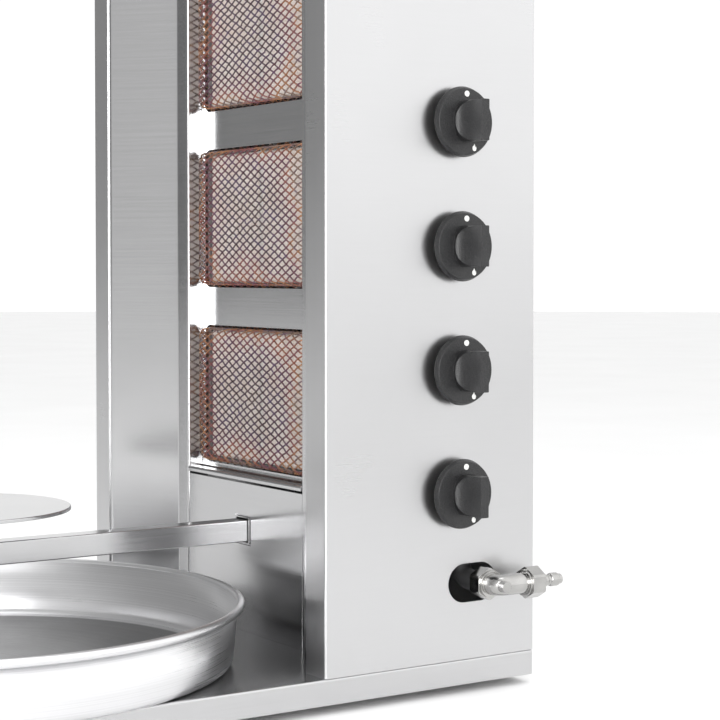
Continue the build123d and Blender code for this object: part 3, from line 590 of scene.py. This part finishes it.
def screw_mesh():
    """Points and faces of a pan-head screw with a cross recess, facing +Y."""
    segments = 32
    rings = [
        (HEAD_RADIUS, 0.0), (HEAD_RADIUS, 0.0012), (0.0037, 0.0019), (0.0030, 0.0023),
        (0.0024, 0.0024),
    ]
    points, faces = [], []
    for radius, out in rings:
        for i in range(segments):
            angle = 2 * math.pi * i / segments
            points.append((radius * math.cos(angle), out, radius * math.sin(angle)))
    for ring in range(len(rings) - 1):
        for i in range(segments):
            j = (i + 1) % segments
            a = ring * segments
            faces.append((a + i, a + segments + i, a + segments + j, a + j))
    last = (len(rings) - 1) * segments
    edge, floor = [], []
    for i in range(segments):
        angle = 2 * math.pi * i / segments
        arm = abs(math.cos(2 * angle)) ** 6
        radius = 0.0006 + 0.0015 * arm
        edge.append((radius * math.cos(angle), 0.0024, radius * math.sin(angle)))
        floor.append((radius * 0.6 * math.cos(angle), 0.0010, radius * 0.6 * math.sin(angle)))
    points += edge + floor
    for start in (last, last + segments):
        for i in range(segments):
            j = (i + 1) % segments
            faces.append((start + i, start + segments + i, start + segments + j, start + j))
    faces.append(tuple(last + 2 * segments + i for i in range(segments)))
    return points, faces


def all_screws():
    """Every screw head in one mesh: four down each side of the rear cover."""
    low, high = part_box("cover_screws")
    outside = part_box("rear_cover")[1][1]
    one_points, one_faces = screw_mesh()
    points, faces = [], []
    for x in (low[0] + HEAD_RADIUS, high[0] - HEAD_RADIUS):
        for step in range(4):
            z = low[2] + HEAD_RADIUS + step * (high[2] - low[2] - 2 * HEAD_RADIUS) / 3
            start = len(points)
            points += [(x + p[0], outside + p[1], z + p[2]) for p in one_points]
            faces += [tuple(i + start for i in f) for f in one_faces]
    return mesh_of("screw_heads", points, faces, SCREW)


piece("cover_screw_heads", all_screws(), (0, 0, 0), "column", ["cover_screws"])


# ---- floor, light and camera -------------------------------------------------------------
floor_paint = Shade("studio_floor", 0.0, 0.6)
speck = floor_paint.noise(floor_paint.place(), 3.0, 2.0)
pale, paler = (0.93, 0.93, 0.93), (0.96, 0.96, 0.96)
floor_paint.set("Base Color", floor_paint.ramp(speck, (0.3, pale), (0.7, paler)))
disc = [(p[0], p[1], 0.0) for p in arc(0, 0, 14, 0, 355, 71)]
floor = bpy.data.objects.new(
    "floor", mesh_of("floor_disc", disc, [tuple(range(72))], floor_paint.material, smooth=False)
)
bpy.context.scene.collection.objects.link(floor)

SKY_LEFT = 0.32
SKY_RIGHT = 0.84
SKY_BACK = 0.75          # added behind the object
world = bpy.data.worlds.new("studio")
world.use_nodes = True
bpy.context.scene.world = world
tree = world.node_tree


def world_node(kind, **settings):
    made = tree.nodes.new(kind)
    for key, value in settings.items():
        setattr(made, key, value)
    return made


def band(source, low, high, to_low, to_high):
    """One direction of the sky shaded from one strength to another."""
    made = world_node("ShaderNodeMapRange", interpolation_type="SMOOTHSTEP")
    tree.links.new(source, made.inputs["Value"])
    limits = {"From Min": low, "From Max": high, "To Min": to_low, "To Max": to_high}
    for key, value in limits.items():
        made.inputs[key].default_value = value
    return made.outputs["Result"]


directions = world_node("ShaderNodeSeparateXYZ")
tree.links.new(world_node("ShaderNodeTexCoord").outputs["Generated"], directions.inputs["Vector"])
back = band(directions.outputs["Y"], -0.35, 0.35, 0.0, SKY_BACK)
right = band(directions.outputs["X"], -0.45, 0.5, SKY_LEFT, SKY_RIGHT)
total = world_node("ShaderNodeMath", operation="ADD")
tree.links.new(back, total.inputs[0])
tree.links.new(right, total.inputs[1])
tree.links.new(total.outputs["Value"], tree.nodes["Background"].inputs["Strength"])
tree.nodes["Background"].inputs["Color"].default_value = (1, 1, 1, 1)


def area_light(name, place, target, size, power):
    light = bpy.data.lights.new(name, "AREA")
    light.shape = "RECTANGLE"
    light.size, light.size_y = size
    light.energy = power
    item = bpy.data.objects.new(name, light)
    item.location = place
    aim = Vector(target) - Vector(place)
    item.rotation_mode = "QUATERNION"
    item.rotation_quaternion = aim.to_track_quat("-Z", "Y")
    bpy.context.scene.collection.objects.link(item)
    return item


area_light("key", (2.5, -1.75, 0.75), (0, 0, 0.4), (1.5, 1.4), 64)
area_light("high", (2.0, -1.05, 1.9), (0, -0.2, 0.2), (1.0, 1.0), 12)
area_light("top", (-0.2, 0.1, 2.8), (0, 0, 0.5), (1.6, 1.6), 16)

camera_data = bpy.data.cameras.new("camera")
camera_data.sensor_width = 36
camera_data.lens = 92.66
camera_data.shift_y = -0.05
camera = bpy.data.objects.new("camera", camera_data)
camera.location = (1.49754, -0.69378, 0.37268)
turn, tilt = 0.59166, 0.03075
aim = Vector((-math.cos(turn) * math.cos(tilt), math.sin(turn) * math.cos(tilt), -math.sin(tilt)))
camera.rotation_mode = "QUATERNION"
camera.rotation_quaternion = aim.to_track_quat("-Z", "Y")
camera_data.clip_start = 0.01
camera_data.clip_end = 60
bpy.context.scene.collection.objects.link(camera)
bpy.context.scene.camera = camera
bpy.context.scene.view_settings.view_transform = "Standard"
